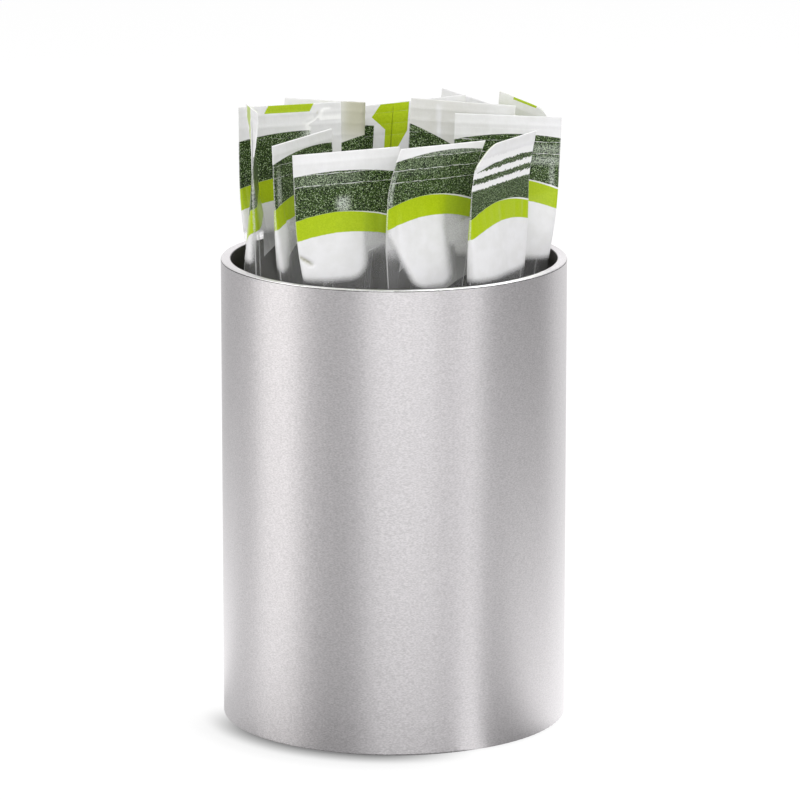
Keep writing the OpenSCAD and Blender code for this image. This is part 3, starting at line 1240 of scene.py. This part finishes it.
STICKS = (
    StickPose((-0.153, -0.265), (-0.255, -0.730), 12.8, slip=-0.45, skew=0.8, drop=(0.55, 1.1),
              creases=(Crease((-10.4, 21.4), (-7.8, 23.2), 1.8, 0.6, -0.9),),
              patch=Patch((-20, -20), (3.2, 3.1), 26.4, 3.2, veil=20.0),
              painted_lights=(PaintedLightSpot((-1.0, 11.0), (1.3, 1.6), 0.8), PaintedLightSpot((-4.0, 5.6), (7.0, 1.6), 0.17),
                      PaintedLightSpot((0.0, 1.2), (14.0, 2.2), 0.3))),
    StickPose((0.064, -0.619), (0.193, -0.775), 39.0, 0.10, slip=-2.5, drop=(0.4, 1.0),
              patch=Patch((-8.2, -1.9), (3.4, 5.2), 28.4, 2.2, veil=20.0),
              painted_lights=(PaintedLightSpot((-4.0, 3.6), (7.0, 2.0), 0.08), PaintedLightSpot((-10.0, 9.0), (0.5, 4.5), 0.6),
                      PaintedLightSpot((0.0, 0.4), (14.0, 1.4), 0.4))),
    StickPose((0.489, -0.393), (0.614, -0.590), 57.2, 0.07, rib_highlight=0.62, rib_slip=1.2, drop=(0.9, 1.1),
              cut=(4.2, 0.0), patch=Patch((-20, -20), (20, 20), 27.6, 3.0)),
    StickPose((-0.435, -0.097), (-0.526, -0.422), 58.2, slip=-1.2, rib_highlight=0.025, drop=(0.3, 2.4),
              creases=(Crease((-7.5, 11), (-6.5, 18), 0.7, 0.8),),
              patch=Patch((-6.6, -5.4), (-2.9, -3.6), 26.5, 1.2, veil=18.0),
              painted_lights=(PaintedLightSpot((-8.9, 11.0), (0.7, 5.0), 0.7),)),
    StickPose((-0.741, -0.316), (-0.834, -0.117), 89.7, slip=3.4, strip=1.8, wrap=5.0, twist=8.0,
              drop=(-2.0, -2.0), patch=Patch((-2.6, -2.4), (0.2, -0.6), 28.0, 0.8),
              painted_lights=(PaintedLightSpot((-10.4, 9.0), (0.7, 7.0), 0.9),)),
    StickPose((-0.611, 0.159), (-0.635, 0.342), 14.9, slip=1.9, strip=1.6, rib_highlight=0.015, shine=0.20,
              drop=(-0.5, -1.0),
              creases=(Crease((3.5, 4.5), (5.5, 3.9), 0.4, 0.6, 0.9), Crease((5.2, 4.1), (6.5, 2.1), 0.4, 0.6, 0.9),
                       Crease((6.3, 2.4), (7.0, 1.0), 0.3, 0.5, 0.9), Crease((6.8, 1.2), (8.5, 1.2), 0.3, 0.5, 0.9),
                       Crease((3.2, 3.8), (5.0, 3.2), 0.0, 0.5, -0.7), Crease((5.0, 3.2), (6.0, 1.4), 0.0, 0.5, -0.7)),
              patch=Patch((-20, -20), (20, 20), 24.8, 2.0), painted_lights=(PaintedLightSpot((8.7, 7.4), (4.9, 4.2), 3.0),)),
    StickPose((-0.472, 0.434), (-0.395, 0.587), -17.8, slip=10.4, skew=-4.6, rib_highlight=0.0, fold=4.8,
              drop=(-0.2, -0.25), painted_lights=(PaintedLightSpot((5.4, 2.0), (3.6, 6.0), -0.75),)),
    StickPose((-0.070, 0.501), (0.086, 0.571), 161.1, rib_highlight=0.03, drop=(-2.4, 2.0)),
    StickPose((0.235, 0.229), (0.380, 0.297), -9.4, skew=6.0, rib_highlight=0.015, drop=(-1.3, -1.3),
              creases=(Crease((-5.0, 1.0), (-4.4, 9.0), 0.6, 0.7, 0.5),),
              painted_lights=(PaintedLightSpot((-4.0, 5.0), (9.0, 7.0), -0.22),)),
    StickPose((0.549, 0.004), (0.663, 0.013), 1.2, slip=0.2, rib_slip=0.8, drop=(-0.2, -0.2),
              patch=Patch((-20, -20), (20, 20), 28.3, 1.0),
              painted_lights=(PaintedLightSpot((8.0, 6.6), (3.4, 1.0), 0.40), PaintedLightSpot((8.0, 8.9), (3.4, 0.9), 0.55),
                      PaintedLightSpot((9.2, 13.0), (0.5, 4.0), 0.6))),
    StickPose((0.216, 0.639), (0.407, 0.671), -59.6, drop=(-0.7, -0.65)),
    StickPose((0.558, 0.451), (0.751, 0.434), -61.6, strip=0.5, drop=(-1.1, -0.85), cut=(0.0, 2.0)),
)


# ---- cup


def dress_node(piece: bpy.types.Object, material: bpy.types.Material) -> None:
    """Puts one finish in every material slot of a CAD node.

    Args:
        piece: The node's object.
        material: The finish.
    """
    if not piece.material_slots:
        piece.data.materials.append(material)
    for slot in piece.material_slots:
        slot.material = material
    log.info("%s: %s", piece.name, material.name)


@dataclass
class Cup:
    """The steel cup: its tube, floor disc and foot pad keep their CAD meshes."""

    steel: BrushedSteel = BrushedSteel(bore=33.0)
    disc: BrushedSteel = BrushedSteel("floor disc steel", (0.52, 0.51, 0.50), 0.42, 0.5, 0.2, 2.2, 0.004)
    pad: Rubber = Rubber()

    def dress(self, nodes_of: dict[str, bpy.types.Object], brushing: bpy.types.NodeTree) -> None:
        """Gives the cup's CAD nodes their finishes.

        Args:
            nodes_of: The frame's node objects by name.
            brushing: The shared brushing group.
        """
        dress_node(nodes_of["cup_tube"], self.steel.build(brushing))
        dress_node(nodes_of["base_plate"], self.disc.build(brushing))
        dress_node(nodes_of["foot_pad"], self.pad.build())


# ---- studio


@dataclass(frozen=True)
class Softbox:
    """A tall studio light on a ring round the cup, facing its middle.

    Angles are in degrees: 0 is at the camera, and positive to its right. Lengths are in metres.
    """

    name: str
    angle: float
    width: float
    height: float
    power: float
    distance: float = 0.8
    rise: float = 0.45
    tint: tuple[float, float, float] = (1.0, 1.0, 1.0)
    diffuse: float = 0.5
    aim_height: float = 0.06

    def build(self) -> None:
        """Adds the light to the scene."""
        light = bpy.data.lights.new(self.name, "AREA")
        light.shape = "RECTANGLE"
        light.size, light.size_y = self.width, self.height
        light.energy, light.color = self.power, self.tint
        light.diffuse_factor = self.diffuse
        lamp = add_object(light)
        turn = math.radians(self.angle)
        lamp.location = (self.distance * math.sin(turn), -self.distance * math.cos(turn), self.rise)
        aim = Vector((0, 0, self.aim_height)) - lamp.location
        lamp.rotation_euler = aim.to_track_quat("-Z", "Y").to_euler()
        lamp.visible_camera = False


@dataclass
class Studio:
    """The white floor, the light round the cup and the camera of the photograph, in metres."""

    boxes: tuple[Softbox, ...] = (
        Softbox("left bank", -82, 0.60, 0.9, 4.2, tint=(1.0, 0.985, 0.965)),
        Softbox("front bank", 6, 0.84, 0.9, 4.6),
        Softbox("front right bank", 43, 0.18, 0.9, 0.75, tint=(1.0, 0.98, 0.995)),
        Softbox("front right strip", 54.5, 0.05, 0.9, 1.0),
        Softbox("overhead", 140, 0.60, 0.6, 4.0, 0.45, 0.75, diffuse=1.0),
    )
    floor_radius: float = 1.2
    floor_tone: float = 0.12
    floor_glow: float = 0.89
    lens: float = 239.029
    camera_place: tuple[float, float, float] = (0.001224, -1.053960, 0.301174)
    camera_elevation: float = 12.615
    sensor_width: float = 36.0
    clip: tuple[float, float] = (0.05, 20.0)
    path_across: tuple[float, float] = (0.605, 0.797)
    path_start: tuple[float, float] = (0.0155, 0.0313)

    def build(self) -> None:
        """Adds the floor, the lights, the surroundings and the camera."""
        self.add_floor()
        for box in self.boxes:
            box.build()
        self.add_surroundings()
        self.add_camera()

    def add_floor(self) -> None:
        """Adds a white floor with a painted shadow by the cup's foot at its front left; it is greyer in reflections.
        """
        bm = bmesh.new()
        bmesh.ops.create_circle(bm, cap_ends=True, segments=96, radius=self.floor_radius)
        mesh = to_mesh(bm, "floor")
        floor = add_object(mesh)
        material, nodes, shader = new_material("white sweep")
        x, y, _ = nodes.separate(nodes.place())
        away = from_axis(nodes, x, y)
        # Painted shadow by the cup's foot, at its front left.
        shade = away.ramp(0.0340, 0.0405, 0.50, 0.0) + away.ramp(0.036, 0.048, 0.14, 0.0)
        lee = ((x * -0.55 + y * -0.83) / away).ramp(0.45, 0.92)
        nodes.feeds(shader, {
            "Base Color": grey(self.floor_tone), "Roughness": 0.9, "Specular IOR Level": 0.0,
            "Emission Color": grey(1.0), "Emission Strength": self.floor_glow - shade * lee})
        reflected = nodes.add("ShaderNodeEmission", {"Strength": self.reflected_glow(x, y, away)})
        out = next(node for node in material.node_tree.nodes if node.type == "OUTPUT_MATERIAL")
        nodes.feed(out.inputs[0], nodes.for_camera(shader.outputs[0], reflected.outputs[0]))
        mesh.materials.append(material)

    def reflected_glow(self, x: Value, y: Value, away: Value) -> Value:
        """How bright the floor is where the cup reflects it.

        Args:
            x: The floor's x.
            y: The floor's y, negative towards the camera.
            away: How far it lies from the cup's axis.

        Returns:
            The strength of its glow.
        """
        # Near the foot the floor glows dimmer in reflections, a painted shade that the cup's lower wall shows.
        front = away.ramp(0.040, 0.090, 0.27, 0.62)
        behind = ((y + x * 0.45) / away).ramp(-0.30, 0.30)
        far = ((y + x * 0.3) / away).ramp(0.6, 1.0, 0.26, 0.95) + (x / away).ramp(-0.5, -0.3, 0.22, 0.0)
        rear = away.ramp(0.12, 0.40, 1.02, far)
        flank = (y / away).ramp(-0.85, -0.15, 0.0, 0.5) * away.ramp(0.06, 0.28, 1.0, 0.0)
        glow = front * (1.0 - behind) + rear * behind + flank
        # A bright path towards the front right strip, which the cup shows as a narrow bright line.
        (across_x, across_y), (aside, start) = self.path_across, self.path_start
        ahead = x * across_y - y * across_x - start
        off = abs(x * across_x + y * across_y + aside)
        reach = ahead.at_least(0.0)
        path = (off / (reach * 0.08 + 0.004)).ramp(0.3, 1.3, 1.0, 0.0) * ahead.ramp(0.05, 0.25, 0.65, 0.16)
        spill = (off / (reach * 0.25 + 0.012)).ramp(0.3, 1.4, 1.0, 0.0) * ahead.ramp(0.03, 0.14, 0.16, 0.0)
        return glow + (path + spill) * (ahead > 0.0)

    def add_surroundings(self) -> None:
        """Adds the studio's walls: white behind the cup, greyer towards the camera."""
        world = bpy.data.worlds.new("studio")
        world.use_nodes = True
        world.node_tree.nodes.clear()
        nodes = Nodes(world.node_tree)
        x, y, _ = nodes.separate(nodes.add("ShaderNodeTexCoord").outputs["Generated"])
        walls = (y + x * 0.12).ramp(0.45, 0.88, x.ramp(0.2, 0.9, 0.62, 0.36), 1.06) + y.ramp(0.91, 0.99, 0.0, 0.45)
        seen = nodes.add("ShaderNodeBackground", {"Color": grey(1.0)})
        lit = nodes.add("ShaderNodeBackground", {"Color": (1.0, 0.995, 1.0, 1.0), "Strength": walls})
        nodes.add("ShaderNodeOutputWorld", {0: nodes.for_camera(seen.outputs[0], lit.outputs[0])})
        bpy.context.scene.world = world

    def add_camera(self) -> None:
        """Adds the camera where the photograph's stood."""
        data = bpy.data.cameras.new("camera")
        data.lens, data.sensor_width = self.lens, self.sensor_width
        data.clip_start, data.clip_end = self.clip
        camera = add_object(data)
        camera.location = self.camera_place
        camera.rotation_euler = (math.radians(90 - self.camera_elevation), 0, 0)
        bpy.context.scene.camera = camera


def main() -> None:
    """Builds the studio, dresses the cup and fills it with its sachets."""
    logging.basicConfig(level=logging.INFO, format="%(message)s")
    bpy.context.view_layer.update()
    bpy.context.scene.view_settings.view_transform = "Standard"
    Studio().build()
    Cup().dress(frame["nodes"], brushing_group())
    sugar = SugarGrains().build()
    film_print = FilmPrint(SachetSize()).build()
    for number, pose in enumerate(STICKS, start=1):
        Sachet(number, pose).build(film_print, sugar)


if __name__ == "__main__":
    main()
